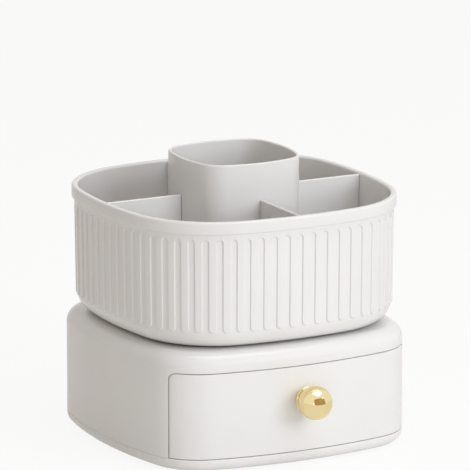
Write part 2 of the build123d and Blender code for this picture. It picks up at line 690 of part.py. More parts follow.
def channel_ribs():
    """Two low ribs on the floor along each divider, which hold its foot."""
    start, end_low, end_high = divider_span()
    inner = DIVIDER_THICKNESS / 2 + CHANNEL_GAP
    foot_end = end_low - TRAY_BOTTOM_RADIUS
    low = TRAY_FLOOR_TOP - TRAY_FLOOR / 2
    high = TRAY_FLOOR_TOP + CHANNEL_HEIGHT
    ribs = []
    for turn in (0, 90, 180, 270):
        for side in (-1, 1):
            y0, y1 = sorted((side * inner, side * (inner + CHANNEL_RIB)))
            ribs.append(Rot(0, 0, turn) * slab(start, foot_end, y0, y1, low, high))
    return ribs


def divider(turn):
    """A flat plate between the cup and the wall, with its lower outer corner round like the tray's."""
    start, end_low, end_high = divider_span()
    low = TRAY_FLOOR_TOP
    high = RIM_TOP - DIVIDER_DROP
    radius = TRAY_BOTTOM_RADIUS - TRAY_FLOOR
    outline = [
        Line((start, low), (end_low - radius, low)),
        CenterArc((end_low - radius, low + radius), radius, -90, 90),
        Line((end_low, low + radius), (end_high, high)),
        Line((end_high, high), (start, high)),
        Line((start, high), (start, low)),
    ]
    face = make_face([edge for line in outline for edge in line.edges()])
    plate = Rot(90, 0, 0) * extrude(face, DIVIDER_THICKNESS / 2, both=True)
    top = [e for e in edges_at(plate, high) if e.length > 4 * DIVIDER_THICKNESS]
    plate = fillet(top, DIVIDER_EDGE_RADIUS)
    return Rot(0, 0, turn) * plate


def brush_cup():
    cup = CUP.block(TRAY_FLOOR_TOP, CUP_TOP)
    floor_top = CUP_FLOOR_BOTTOM + CUP_FLOOR
    hollow = CUP.block(floor_top, CUP_TOP + THROUGH_CUT, CUP_WALL)
    cup -= fillet(edges_at(hollow, floor_top), CUP_FLOOR_RADIUS)
    cup -= CUP.block(TRAY_FLOOR_TOP - THROUGH_CUT, CUP_FLOOR_BOTTOM, CUP_WALL)
    cup = fillet(edges_at(cup, CUP_TOP), CUP_LIP_RADIUS)
    for place in corner_places(CUP_BOSS_OFFSET, CUP_BOSS_OFFSET):
        cup += disc(CUP_BOSS_RADIUS, TRAY_FLOOR_TOP, CUP_FLOOR_BOTTOM + CUP_FLOOR / 2, place)
        cup -= disc(SCREW_RADIUS + SCREW_FIT, TRAY_FLOOR_TOP - THROUGH_CUT, CUP_FLOOR_BOTTOM, place)
    return cup


def cup_screws():
    places = corner_places(CUP_BOSS_OFFSET, CUP_BOSS_OFFSET)
    return group(Pos(x, y, TRAY_BOTTOM) * case_screw(CUP_SCREW_LENGTH) for x, y in places)


# ---------------------------------------------------------------- all the pieces
PIECES = {
    "rubber_feet": rubber_feet,
    "base_bottom_pan": base_bottom_pan,
    "base_housing": base_housing,
    "case_screws": case_screws,
    "drawer_rail_left": lambda: drawer_rail(-1),
    "drawer_rail_right": lambda: drawer_rail(1),
    "rail_screws": rail_screws,
    "drawer_box": drawer_box,
    "drawer_front": drawer_front,
    "drawer_front_screws": drawer_front_screws,
    "drawer_knob": drawer_knob,
    "knob_collar": knob_collar,
    "knob_screw": knob_screw,
    "knob_washer": knob_washer,
    "lower_race": lower_race,
    "lower_race_screws": lower_race_screws,
    "bearing_balls": bearing_balls,
    "ball_cage": ball_cage,
    "upper_race": upper_race,
    "upper_race_screws": upper_race_screws,
    "pivot_bolt": pivot_bolt,
    "pivot_washer": pivot_washer,
    "nut_washer": nut_washer,
    "pivot_nut": pivot_nut,
    "tray_shell": tray_shell,
    "brush_cup": brush_cup,
    "cup_screws": cup_screws,
    "divider_right": lambda: divider(0),
    "divider_back": lambda: divider(90),
    "divider_left": lambda: divider(180),
    "divider_front": lambda: divider(270),
}

os.makedirs("parts", exist_ok=True)
for name, make in PIECES.items():
    export_step(make(), f"parts/{name}.step")
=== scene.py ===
import json
from math import asin, atan2, ceil, cos, hypot, pi, radians, sin, sqrt

import bmesh
import bpy
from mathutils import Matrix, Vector

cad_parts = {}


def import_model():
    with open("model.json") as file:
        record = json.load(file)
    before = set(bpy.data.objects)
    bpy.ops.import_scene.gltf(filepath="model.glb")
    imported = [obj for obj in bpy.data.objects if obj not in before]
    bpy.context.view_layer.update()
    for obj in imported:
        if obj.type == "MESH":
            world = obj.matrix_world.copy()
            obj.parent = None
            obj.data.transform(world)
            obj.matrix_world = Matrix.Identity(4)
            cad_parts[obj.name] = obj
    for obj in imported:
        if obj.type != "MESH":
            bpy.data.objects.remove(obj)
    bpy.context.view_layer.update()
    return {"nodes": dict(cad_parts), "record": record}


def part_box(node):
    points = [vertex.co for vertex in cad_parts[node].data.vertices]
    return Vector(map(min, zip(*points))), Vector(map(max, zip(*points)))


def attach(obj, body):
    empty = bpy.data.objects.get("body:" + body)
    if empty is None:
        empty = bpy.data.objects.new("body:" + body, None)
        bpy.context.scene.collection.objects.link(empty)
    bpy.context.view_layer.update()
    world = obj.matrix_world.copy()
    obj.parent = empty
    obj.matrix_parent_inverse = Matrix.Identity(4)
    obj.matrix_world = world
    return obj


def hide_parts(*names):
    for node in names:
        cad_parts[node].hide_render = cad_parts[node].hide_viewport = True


# The looks of a make-up organizer: a base with one curved drawer, under a fluted tray that turns.
# Outlines and profiles are worked out in millimetres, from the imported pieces' boxes.

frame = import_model()
MM = 0.001


# ------------------------------------------------------------ sizes, read from the frame
def low(node, axis):
    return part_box(node)[0][axis] / MM


def high(node, axis):
    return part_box(node)[1][axis] / MM


X, Y, Z = 0, 1, 2
PAN_BOTTOM = low("base_bottom_pan", Z)
PAN_TOP = high("base_bottom_pan", Z)
BASE_TOP = high("base_housing", Z)
TRAY_BOTTOM = low("tray_shell", Z)
RIM_TOP = high("tray_shell", Z)
CUP_BOTTOM = low("brush_cup", Z)
CUP_TOP = high("brush_cup", Z)
FRONT_BOTTOM = low("drawer_front", Z)
FRONT_TOP = high("drawer_front", Z)
FRONT_HALF = high("drawer_front", X)
RACE_SEAT = low("lower_race", Z)
KNOB_HEIGHT = (low("drawer_knob", Z) + high("drawer_knob", Z)) / 2
KNOB_RADIUS = (high("drawer_knob", Z) - low("drawer_knob", Z)) / 2
KNOB_CENTRE_Y = low("drawer_knob", Y) + KNOB_RADIUS
KNOB_BACK_Y = high("drawer_knob", Y)
COLLAR_BACK_Y = high("knob_collar", Y)
BASE_WIDTH = high("base_bottom_pan", X) - low("base_bottom_pan", X)
TRAY_WIDTH = high("tray_shell", X) - low("tray_shell", X)
CUP_WIDTH = high("brush_cup", X) - low("brush_cup", X)

# ------------------------------------------------------------ sizes of the base and drawer
BASE_SIDE_RADIUS = 322.0
BASE_CORNER_RADIUS = 41.0
WALL = 2.5
SHOULDER_RADIUS = 10.7
SHOULDER_START = BASE_TOP - SHOULDER_RADIUS
PAN_EDGE_RADIUS = 8.0
SEAM_ROUND = 0.45
PANEL_GAP = 0.5
OPENING_HALF = FRONT_HALF + PANEL_GAP
OPENING_TOP = FRONT_TOP + PANEL_GAP
OPENING_CORNER = 4.3
FRONT_THICKNESS = 3.0
RECESS_RADIUS = 66.0
HUB_RADIUS = 11.0
HUB_RISE = 2.0
BOLT_HOLE = 3.1
BOSS_X = 96.8
BOSS_Y = 38.0
BOSS_RADIUS = 3.9
BOSS_RISE = 2.0
STOP_X = (78.0, 86.0)
STOP_Y = (-80.0, -77.5)
STOP_DROP = 4.8

# ------------------------------------------------------------ sizes of the tray
TRAY_SIDE_RADIUS = 294.0
TRAY_CORNER_RADIUS = 69.0
FLUTE_COUNT = 70
FLUTE_SHARE = 0.475
FLUTE_DEPTH = 0.95
FLUTE_EDGE = 0.26
FLUTE_TOP = RIM_TOP - 13.2
BEAD_BOTTOM = TRAY_BOTTOM + 12.4
BEAD_CROWN = 0.03
RIM_BAND_HEIGHT = 8.8
RIM_BAND_BOTTOM = RIM_TOP - RIM_BAND_HEIGHT
RIM_PROUD = 1.7
RIM_EDGE = 1.6
RIM_WIDTH = 4.5
BAND_NOOK = 0.5
BAND_LIP = 0.5
TRAY_TAPER = 1.1
TRAY_WALL = 2.8
TRAY_FLOOR_TOP = CUP_BOTTOM
TRAY_EDGE_RADIUS = 13.9
PIVOT_HOLE = 4.1
CHANNEL_NEAR = 1.2
CHANNEL_FAR = 2.6
CHANNEL_PLAY = 0.3
CHANNEL_SUNK = 1.0
CHANNEL_RISE = 2.5

# ------------------------------------------------------------ sizes of the cup and the knob
CUP_SIDE_RADIUS = 93.0
CUP_CORNER_RADIUS = 20.0
CUP_WALL = 2.2
CUP_LIP = 0.9
CUP_FLOOR_BOTTOM = CUP_BOTTOM + 8.0
CUP_FLOOR_TOP = CUP_FLOOR_BOTTOM + 2.4
CUP_FLOOR_RADIUS = 3.0
NECK_RADIUS = 4.6
NECK_ROW = 1.0
COLLAR_BACK_RADIUS = 6.6
COLLAR_FRONT_RADIUS = 10.4
COLLAR_HEIGHT = 8.5
COLLAR_EDGE = 0.5
COLLAR_PLAY = 0.1

# ------------------------------------------------------------ how finely the shapes are divided
SIDE_STEP = radians(1.2)
CORNER_STEP = radians(2.4)
FLAT_SPANS = 10
BENT_SPANS = 18
TRAY_ROW = 20.0
CUP_ROW = 25.0
FINE_ROW = 0.24
END_ROW = 1.0
RECESS_STEPS = 3
SEAM_STEPS = 4
LIP_STEPS = 6
EDGE_STEPS = 8
PAN_INNER_STEPS = 10
FILLET_STEPS = 12
SHOULDER_STEPS = 14
FOOT_STEPS = 16
BALL_STEPS = 48
POST_SIDES = 32
TURNED_SIDES = 128
WELD = 0.002
SMOOTH_ANGLE = 40

# ------------------------------------------------------------ finishes, light and camera
NOISE_LOW = 0.3
NOISE_HIGH = 0.7
FLOOR_REACH = 30000.0
FLOOR_COLOUR = (0.86, 0.845, 0.82, 1)
FLOOR_ROUGHNESS = 0.9
FLOOR_GLOW = 0.9
MIRRORED_GLOW = 0.7
AMBIENT = (0.38, 0.341, 0.30, 1)
WHITE = (1, 1, 1, 1)
CARD_MIDDLE_X = 90.0
CARD_HALF_WIDTH = 1000.0
CARD_Y = -1320.0
CARD_BOTTOM = 5.0
CARD_TOP = 1150.0
# The card's brown glow is seen only in mirrors: a painted reflection in the gold.
CARD_REFLECTED_GLOW = (0.42, 0.27, 0.11, 1)
CARD_BASE = (0.02, 0.02, 0.02, 1)
# name, place in metres, width, height, watts, colour
LAMPS = (
    ("key", (0.85, -2.4, 1.15), 1.7, 1.5, 32, (0.89, 0.935, 1.0)),
    ("low", (-0.7, -2.1, 0.3), 1.6, 0.5, 7, (0.9, 0.95, 1.0)),
    ("top", (0.25, -0.4, 2.2), 1.6, 1.6, 18, (0.93, 0.965, 1.0)),
)
LAMP_AIM = (0, 0, 0.1)
CAMERA_TURN = radians(-27.79)
CAMERA_TILT = radians(13.04)
CAMERA_DISTANCE = 4.1293
CAMERA_LENS = 445.7
CAMERA_SENSOR = 36.0
CAMERA_REACH = 100.0
AIM_HEIGHT = 0.09695
AIM_RIGHT = 0.001016
AIM_UP = 0.045357


# ------------------------------------------------------------ plan outlines
class Plan:
    """A square with bulged sides and round corners, as eight tangent arcs.

    A place on it is (x, y, normal x, normal y), and insets follow the normals.
    """

    def __init__(self, width, side_radius, corner_radius):
        self.side = side_radius
        self.corner = corner_radius
        self.side_centre = side_radius - width / 2
        reach = side_radius - corner_radius
        self.corner_centre = (sqrt(2 * reach**2 - self.side_centre**2) - self.side_centre) / 2
        self.side_angle = atan2(self.corner_centre, self.corner_centre + self.side_centre)

    def at_angle(self, turn):
        """The place where the outward normal points along an angle, in radians."""
        quarter = round(turn / (pi / 2))
        lean = turn - quarter * pi / 2
        if abs(lean) <= self.side_angle:
            centre = (-self.side_centre, 0.0)
            radius = self.side
        else:
            centre = (self.corner_centre, self.corner_centre * (1 if lean > 0 else -1))
            radius = self.corner
        c, s = round(cos(quarter * pi / 2)), round(sin(quarter * pi / 2))
        normal = (cos(turn), sin(turn))
        return (
            centre[0] * c - centre[1] * s + radius * normal[0],
            centre[0] * s + centre[1] * c + radius * normal[1],
            normal[0],
            normal[1],
        )

    def front_at(self, x, inset=0.0):
        """The place on the -Y side that has this x on the outline moved in by inset."""
        radius = self.side - inset
        if abs(x) <= radius * sin(self.side_angle):
            turn = -pi / 2 + asin(x / radius)
        else:
            lean = asin((abs(x) - self.corner_centre) / (self.corner - inset))
            turn = -pi / 2 + (lean if x > 0 else -lean)
        return self.at_angle(turn)

    def lengths(self, inset):
        """Arc lengths of half a side and of a whole corner."""
        half_side = self.side_angle * (self.side - inset)
        corner = (pi / 2 - 2 * self.side_angle) * (self.corner - inset)
        return half_side, corner

    def perimeter(self, inset):
        half_side, corner = self.lengths(inset)
        return 4 * (2 * half_side + corner)

    def at_length(self, run, inset):
        """The place at a distance along the outline, counted from the middle of the -Y side."""
        half_side, corner = self.lengths(inset)
        quarter_run = 2 * half_side + corner
        quarter = (run + half_side) // quarter_run
        rest = run - quarter * quarter_run
        if rest <= half_side:
            lean = rest / (self.side - inset)
        else:
            lean = self.side_angle + (rest - half_side) / (self.corner - inset)
        return self.at_angle(-pi / 2 + quarter * pi / 2 + lean)

    def even_places(self, start_turn, end_turn):
        """Places from one normal angle to another, evenly spaced on each side and corner."""
        stops = [start_turn]
        for quarter in range(-4, 9):
            for lean in (-self.side_angle, self.side_angle):
                turn = quarter * pi / 2 + lean
                if start_turn < turn < end_turn:
                    stops.append(turn)
        stops.append(end_turn)
        turns = []
        for first, second in zip(stops, stops[1:]):
            middle = (first + second) / 2
            lean = abs(middle - round(middle / (pi / 2)) * pi / 2)
            step = SIDE_STEP if lean <= self.side_angle else CORNER_STEP
            count = max(1, ceil((second - first) / step))
            turns += [first + (second - first) * i / count for i in range(count)]
        return [self.at_angle(turn) for turn in turns]


def inside(place, inset):
    """The point that lies inside a place by a distance along its normal."""
    px, py, nx, ny = place
    return px - inset * nx, py - inset * ny


def normal_turn(place):
    return atan2(place[3], place[2])


BASE = Plan(BASE_WIDTH, BASE_SIDE_RADIUS, BASE_CORNER_RADIUS)
TRAY = Plan(TRAY_WIDTH, TRAY_SIDE_RADIUS, TRAY_CORNER_RADIUS)
CUP = Plan(CUP_WIDTH, CUP_SIDE_RADIUS, CUP_CORNER_RADIUS)


# ------------------------------------------------------------ mesh helpers
class Mesh:
    """Points and faces of one piece. Rings are lists of point numbers that close on themselves."""

    def __init__(self):
        self.points = []
        self.faces = []

    def add(self, x, y, z):
        self.points.append((x * MM, y * MM, z * MM))
        return len(self.points) - 1

    def plan_ring(self, places, inset, z):
        return [self.add(*inside(place, inset), z) for place in places]

    def circle_ring(self, places, radius, z):
        turns = [atan2(py, px) for px, py, nx, ny in places]
        return [self.add(radius * cos(turn), radius * sin(turn), z) for turn in turns]

    def join(self, first, second):
        for i in range(len(first)):
            j = (i + 1) % len(first)
            self.faces.append((first[i], first[j], second[j], second[i]))

    def join_all(self, rings):
        for first, second in zip(rings, rings[1:]):
            self.join(first, second)

    def strip(self, first, second):
        """Faces between two open rows of the same length."""
        for i in range(len(first) - 1):
            self.faces.append((first[i], first[i + 1], second[i + 1], second[i]))

    def fan(self, ring, x, y, z):
        centre = self.add(x, y, z)
        for i in range(len(ring)):
            self.faces.append((ring[i], ring[(i + 1) % len(ring)], centre))

    def block(self, x_span, y_span, z_span):
        (x0, x1), (y0, y1) = x_span, y_span
        plan = ((x0, y0), (x1, y0), (x1, y1), (x0, y1))
        corners = [self.add(x, y, z) for z in z_span for x, y in plan]
        self.faces.append(tuple(corners[:4]))
        self.faces.append(tuple(corners[4:]))
        self.join(corners[:4], corners[4:])

    def post(self, x, y, radius, z0, z1):
        turns = [2 * pi * i / POST_SIDES for i in range(POST_SIDES)]
        circle = [(x + radius * cos(t), y + radius * sin(t)) for t in turns]
        rings = [[self.add(cx, cy, z) for cx, cy in circle] for z in (z0, z1)]
        self.join(*rings)
        self.faces.append(tuple(rings[0]))
        self.faces.append(tuple(rings[1]))

    def piece(self, name):
        """The finished object, with its faces turned outwards and round faces shaded smooth."""
        data = bpy.data.meshes.new(name)
        data.from_pydata(self.points, [], self.faces)
        work = bmesh.new()
        work.from_mesh(data)
        bmesh.ops.remove_doubles(work, verts=work.verts, dist=WELD * MM)
        bmesh.ops.recalc_face_normals(work, faces=work.faces)
        work.to_mesh(data)
        work.free()
        data.set_sharp_from_angle(angle=radians(SMOOTH_ANGLE))
        data.polygons.foreach_set("use_smooth", [True] * len(data.polygons))
        obj = bpy.data.objects.new(name, data)
        bpy.context.scene.collection.objects.link(obj)
        return obj


def quarter_turns(count):
    """Angles from 0 to 90 degrees, both ends included."""
    return [pi / 2 * i / count for i in range(count + 1)]


def even_steps(start, end, step):
    count = max(1, ceil(abs(end - start) / step))
    return [start + (end - start) * i / count for i in range(count + 1)]


# ------------------------------------------------------------ tray
def wall_inset(z):
    """The tray wall leans in a little towards its foot. This is the beads' inset from the rim."""
    wall_top = RIM_TOP - RIM_EDGE
    return RIM_PROUD + TRAY_TAPER * (wall_top - z) / (wall_top - TRAY_BOTTOM)


def foot_round(z):
    """How far the rounded foot of the tray has drawn in at a height."""
    drop = TRAY_BOTTOM + TRAY_EDGE_RADIUS - z
    if drop <= 0:
        return 0.0
    return TRAY_EDGE_RADIUS - sqrt(max(0.0, TRAY_EDGE_RADIUS**2 - drop**2))


FLUTE_INSET = wall_inset((BEAD_BOTTOM + FLUTE_TOP) / 2)
PITCH = TRAY.perimeter(FLUTE_INSET) / FLUTE_COUNT
FLUTE_HALF = PITCH * FLUTE_SHARE / 2
BEAD_HALF = PITCH / 2 - FLUTE_HALF
FLUTE_CROWN = FLUTE_TOP - FLUTE_HALF
BEAD_SHOULDER = BEAD_BOTTOM + BEAD_HALF


def bead_height(across, z):
    """From 0 in a flute to 1 on a bead, at a height and a distance from the flute's middle."""
    if z >= FLUTE_CROWN:
        outside = hypot(across, z - FLUTE_CROWN) - FLUTE_HALF
    elif z >= BEAD_SHOULDER:
        outside = abs(across) - FLUTE_HALF
    else:
        outside = BEAD_HALF - hypot(abs(across) - PITCH / 2, z - BEAD_SHOULDER)
    share = min(1.0, max(0.0, 0.5 + outside / (2 * FLUTE_EDGE)))
    return share * share * (3 - 2 * share)


def bead_crown(across, z):
    """Each bead swells a little along its middle."""
    if not BEAD_BOTTOM < z < FLUTE_CROWN:
        return 0.0
    reach = (PITCH / 2 - abs(across)) / BEAD_HALF
    fade = min(1.0, (FLUTE_CROWN - z) / BEAD_HALF, (z - BEAD_BOTTOM) / BEAD_HALF)
    return BEAD_CROWN * max(0.0, 1 - reach * reach) * fade


def fluted_inset(across, z):
    """The outer wall's inset from the rim, with its flutes and its rounded foot."""
    sunk = (FLUTE_DEPTH + foot_round(z)) * (1 - bead_height(across, z))
    return wall_inset(z) + sunk - bead_crown(across, z)


def flute_columns(z):
    """Distances from a flute's middle at which the wall is sampled, crowded at its edges."""
    half = FLUTE_HALF
    if z > FLUTE_CROWN:
        half = sqrt(max(0.0, FLUTE_HALF**2 - (z - FLUTE_CROWN) ** 2))
    elif z < BEAD_SHOULDER:
        half = PITCH / 2 - sqrt(max(0.0, BEAD_HALF**2 - (z - BEAD_SHOULDER) ** 2))
    narrowest = FLUTE_HALF * 0.5
    widest = PITCH / 2 - BEAD_HALF * 0.3
    half = min(max(half, narrowest), widest)
    edge = [half + FLUTE_EDGE * share for share in (-1, -1 / 3, 1 / 3, 1)]
    bead = [edge[-1] + (PITCH / 2 - edge[-1]) * 0.45]
    right = [edge[0] * 0.5] + edge + bead
    return [-PITCH / 2] + [-u for u in reversed(right)] + [0.0] + right


def tray_places(z):
    """(place, distance from the flute's middle) all round the tray, for the row at a height."""
    first = -FLUTE_HALF
    offsets = flute_columns(z)
    rows = []
    for flute in range(FLUTE_COUNT):
        for across in offsets:
            run = first + flute * PITCH + across
            rows.append((TRAY.at_length(run, FLUTE_INSET), across))
    return rows


def tray_wall_heights():
    """Rows of the outer wall, from the foot to the rim band, close together where flutes end."""
    foot = [TRAY_BOTTOM + TRAY_EDGE_RADIUS * (1 - cos(t)) for t in quarter_turns(FOOT_STEPS)]
    foot = [z for z in foot if z < BEAD_BOTTOM - 2 * FLUTE_EDGE]
    ends = even_steps(BEAD_BOTTOM - FLUTE_EDGE, BEAD_SHOULDER + FINE_ROW, FINE_ROW)
    middle = even_steps(BEAD_SHOULDER + BEAD_HALF, FLUTE_CROWN - BEAD_HALF, TRAY_ROW)
    crowns = even_steps(FLUTE_CROWN - FINE_ROW, FLUTE_TOP + FLUTE_EDGE, FINE_ROW)
    return foot + ends + middle + crowns


def rim_profile():
    """(inset, height) up the outside of the rim band, over its top and down to the inner wall."""
    foot = RIM_BAND_BOTTOM - BAND_NOOK
    inner = RIM_WIDTH - RIM_EDGE
    rows = [(wall_inset(foot), foot)]
    for t in quarter_turns(SEAM_STEPS):
        rows.append((RIM_PROUD - BAND_NOOK * (1 - cos(t)), foot + BAND_NOOK * sin(t)))
    for t in quarter_turns(SEAM_STEPS):
        rows.append((BAND_LIP * (1 - sin(t)), RIM_BAND_BOTTOM + BAND_LIP * (1 - cos(t))))
    for t in quarter_turns(EDGE_STEPS):
        rows.append((RIM_EDGE * (1 - cos(t)), RIM_TOP - RIM_EDGE * (1 - sin(t))))
    for t in quarter_turns(EDGE_STEPS):
        rows.append((inner + RIM_EDGE * sin(t), RIM_TOP - RIM_EDGE * (1 - cos(t))))
    return rows


def tray_inner_profile():
    radius = TRAY_EDGE_RADIUS - (TRAY_FLOOR_TOP - TRAY_BOTTOM)
    top = RIM_TOP - 2 * RIM_EDGE
    bottom = TRAY_FLOOR_TOP + radius
    rows = [(wall_inset(z) + TRAY_WALL, z) for z in even_steps(top, bottom, TRAY_ROW)]
    for t in quarter_turns(FILLET_STEPS)[1:]:
        z = bottom - radius * sin(t)
        rows.append((wall_inset(z) + TRAY_WALL + radius * (1 - cos(t)), z))
    return rows


def add_divider_channels(mesh):
    """Two low ribs on the tray's floor hold the foot of each divider."""
    start = CUP_WIDTH / 2 + CHANNEL_PLAY
    end = TRAY_WIDTH / 2 - wall_inset(TRAY_FLOOR_TOP) - TRAY_WALL - TRAY_EDGE_RADIUS
    heights = (TRAY_FLOOR_TOP - CHANNEL_SUNK, TRAY_FLOOR_TOP + CHANNEL_RISE)
    for side in (-1, 1):
        rib = sorted((side * CHANNEL_NEAR, side * CHANNEL_FAR))
        for way in (-1, 1):
            run = sorted((way * start, way * end))
            mesh.block(run, rib, heights)
            mesh.block(rib, run, heights)


def tray():
    """Floor, fluted wall and proud rim, as one closed moulding with the pivot's hole."""
    mesh = Mesh()
    places = [place for place, across in tray_places(FLUTE_CROWN - BEAD_HALF)]
    rings = [mesh.circle_ring(places, PIVOT_HOLE, TRAY_BOTTOM)]
    for z in tray_wall_heights():
        row = [inside(place, fluted_inset(across, z)) for place, across in tray_places(z)]
        rings.append([mesh.add(x, y, z) for x, y in row])
    for inset, z in rim_profile() + tray_inner_profile():
        rings.append(mesh.plan_ring(places, inset, z))
    hub_top = TRAY_FLOOR_TOP + HUB_RISE
    rings.append(mesh.circle_ring(places, HUB_RADIUS, TRAY_FLOOR_TOP))
    rings.append(mesh.circle_ring(places, HUB_RADIUS, hub_top))
    rings.append(mesh.circle_ring(places, PIVOT_HOLE, hub_top))
    mesh.join_all(rings + [rings[0]])
    add_divider_channels(mesh)
    return mesh.piece("tray_moulding")


# ------------------------------------------------------------ cup
def cup_profile():
    """(inset, height) from the foot up the outside, over the lip and down to the cup's floor."""
    lip_start = CUP_TOP - 2 * CUP_LIP
    floor_start = CUP_FLOOR_TOP + CUP_FLOOR_RADIUS
    inner = CUP_WALL - CUP_LIP
    rows = [(CUP_WALL, CUP_BOTTOM), (0.0, CUP_BOTTOM)]
    rows += [(0.0, z) for z in even_steps(CUP_BOTTOM + END_ROW, lip_start, CUP_ROW)]
    for t in quarter_turns(LIP_STEPS):
        rows.append((CUP_LIP * (1 - cos(t)), CUP_TOP - CUP_LIP * (1 - sin(t))))
    for t in quarter_turns(LIP_STEPS):
        rows.append((inner + CUP_LIP * sin(t), CUP_TOP - CUP_LIP * (1 - cos(t))))
    rows += [(CUP_WALL, z) for z in even_steps(lip_start, floor_start + END_ROW, CUP_ROW)]
    for t in quarter_turns(LIP_STEPS):
        inset = CUP_WALL + CUP_FLOOR_RADIUS * (1 - cos(t))
        rows.append((inset, floor_start - CUP_FLOOR_RADIUS * sin(t)))
    return rows


def cup():
    mesh = Mesh()
    places = CUP.even_places(-pi, pi)
    rings = [mesh.plan_ring(places, inset, z) for inset, z in cup_profile()]
    mesh.join_all(rings)
    mesh.fan(rings[-1], 0, 0, CUP_FLOOR_TOP)
    under = mesh.plan_ring(places, CUP_WALL, CUP_FLOOR_BOTTOM)
    mesh.join(rings[0], under)
    mesh.fan(under, 0, 0, CUP_FLOOR_BOTTOM)
    return mesh.piece("cup_moulding")


# ------------------------------------------------------------ base
def pan_profile():
    """(inset, height) up the round foot edge and over the seam, then down the inside."""
    inner = PAN_EDGE_RADIUS - WALL
    rows = []
    for t in quarter_turns(SHOULDER_STEPS):
        inset = PAN_EDGE_RADIUS * (1 - sin(t))
        rows.append((inset, PAN_BOTTOM + PAN_EDGE_RADIUS * (1 - cos(t))))
    for t in quarter_turns(SEAM_STEPS):
        rows.append((SEAM_ROUND * (1 - cos(t)), PAN_TOP - SEAM_ROUND * (1 - sin(t))))
    rows.append((WALL, PAN_TOP))
    for t in quarter_turns(PAN_INNER_STEPS):
        inset = WALL + inner * (1 - cos(t))
        rows.append((inset, PAN_BOTTOM + WALL + inner * (1 - sin(t))))
    return rows


def pan():
    """The shallow dish under the base, with its round foot edge and the seam that it shares above."""
    mesh = Mesh()
    places = BASE.even_places(-pi, pi)
    rings = [mesh.plan_ring(places, inset, z) for inset, z in pan_profile()]
    mesh.join_all(rings)
    mesh.fan(rings[0], 0, 0, PAN_BOTTOM)
    mesh.fan(rings[-1], 0, 0, PAN_BOTTOM + WALL)
    return mesh.piece("pan_moulding")


def front_spans(half, corner):
    """x of the columns right of the middle, up to where a round top corner starts."""
    last = normal_turn(BASE.front_at(half - corner)) + pi / 2
    bend = last - BASE.side_angle
    flat = [BASE.side_angle * i / FLAT_SPANS for i in range(1, FLAT_SPANS + 1)]
    bent = [BASE.side_angle + bend * i / BENT_SPANS for i in range(1, BENT_SPANS)]
    return [BASE.at_angle(-pi / 2 + t)[0] for t in flat + bent]


def opening_edge(grow, half, top, corner):
    """(x, z) of an edge with round top corners, from its left side, over the top, to its right."""
    right = [(x, top + grow) for x in front_spans(half, corner)]
    for t in reversed(quarter_turns(LIP_STEPS)):
        x = half - corner + (corner + grow) * cos(t)
        right.append((x, top - corner + (corner + grow) * sin(t)))
    left = [(-x, z) for x, z in reversed(right)]
    return left + [(0.0, top + grow)] + right


def seam_steps(radius):
    """(distance in the surface, depth) over a rounded edge, from the surface to the side face."""
    return [(radius * (1 - sin(t)), radius * (1 - cos(t))) for t in quarter_turns(SEAM_STEPS)]


def front_place(x, depth):
    return inside(BASE.front_at(x, depth), depth)


def column_places(back, grow, depth):
    """Places of all the housing's columns, left to right over the opening and then round."""
    edge = opening_edge(grow, OPENING_HALF, OPENING_TOP, OPENING_CORNER)
    return [BASE.front_at(x, depth) for x, z in edge] + back


def housing_edge(mesh, back, grow, depth):
    """One loop round the opening and along the housing's foot."""
    edge = opening_edge(grow, OPENING_HALF, OPENING_TOP, OPENING_CORNER)
    foot = PAN_TOP + grow
    loop = [mesh.add(*front_place(x, depth), z) for x, z in edge]
    loop.append(mesh.add(*front_place(OPENING_HALF + grow, depth), foot))
    loop += mesh.plan_ring(back, depth, foot)
    loop.append(mesh.add(*front_place(-OPENING_HALF - grow, depth), foot))
    return loop


def housing_wall(mesh, loop, back, grow, depth):
    """The upright wall between a loop at the foot and the shoulder. Returns the ring above it."""
    front_count = len(loop) - len(back) - 2
    front_low = loop[:front_count]
    back_low = loop[front_count:]
    top = mesh.plan_ring(column_places(back, grow, depth), depth, SHOULDER_START)
    level = OPENING_TOP - OPENING_CORNER
    back_level = [front_low[-1]] + mesh.plan_ring(back, depth, level) + [front_low[0]]
    mesh.strip(front_low, top[:front_count])
    mesh.strip(back_low, back_level)
    mesh.strip(back_level, top[front_count - 1:] + [top[0]])
    return top


def shoulder_ring(mesh, places, depth, turn):
    radius = SHOULDER_RADIUS - depth
    inset = depth + radius * (1 - cos(turn))
    return mesh.plan_ring(places, inset, SHOULDER_START + radius * sin(turn))


def top_circles():
    """(radius, height) of the bearing's recess and the bolt's hub, and back under the ceiling."""
    ceiling = RACE_SEAT - WALL
    hub_top = RACE_SEAT + HUB_RISE
    rows = []
    for t in quarter_turns(RECESS_STEPS):
        rows.append((RECESS_RADIUS + SEAM_ROUND * (1 - sin(t)), BASE_TOP - SEAM_ROUND * (1 - cos(t))))
    rows += [(RECESS_RADIUS, RACE_SEAT), (HUB_RADIUS, RACE_SEAT), (HUB_RADIUS, hub_top)]
    rows += [(BOLT_HOLE, hub_top), (BOLT_HOLE, ceiling)]
    rows += [(RECESS_RADIUS + WALL, ceiling), (RECESS_RADIUS + WALL, BASE_TOP - WALL)]
    return rows


def add_housing_fittings(mesh):
    """Screw bosses inside the side walls, and the two stops behind the top of the opening."""
    for side in (-1, 1):
        for end in (-1, 1):
            boss_top = SHOULDER_START + BOSS_RISE
            mesh.post(side * BOSS_X, end * BOSS_Y, BOSS_RADIUS, PAN_TOP, boss_top)
        stop_x = sorted(side * x for x in STOP_X)
        mesh.block(stop_x, STOP_Y, (OPENING_TOP - STOP_DROP, BASE_TOP - WALL))


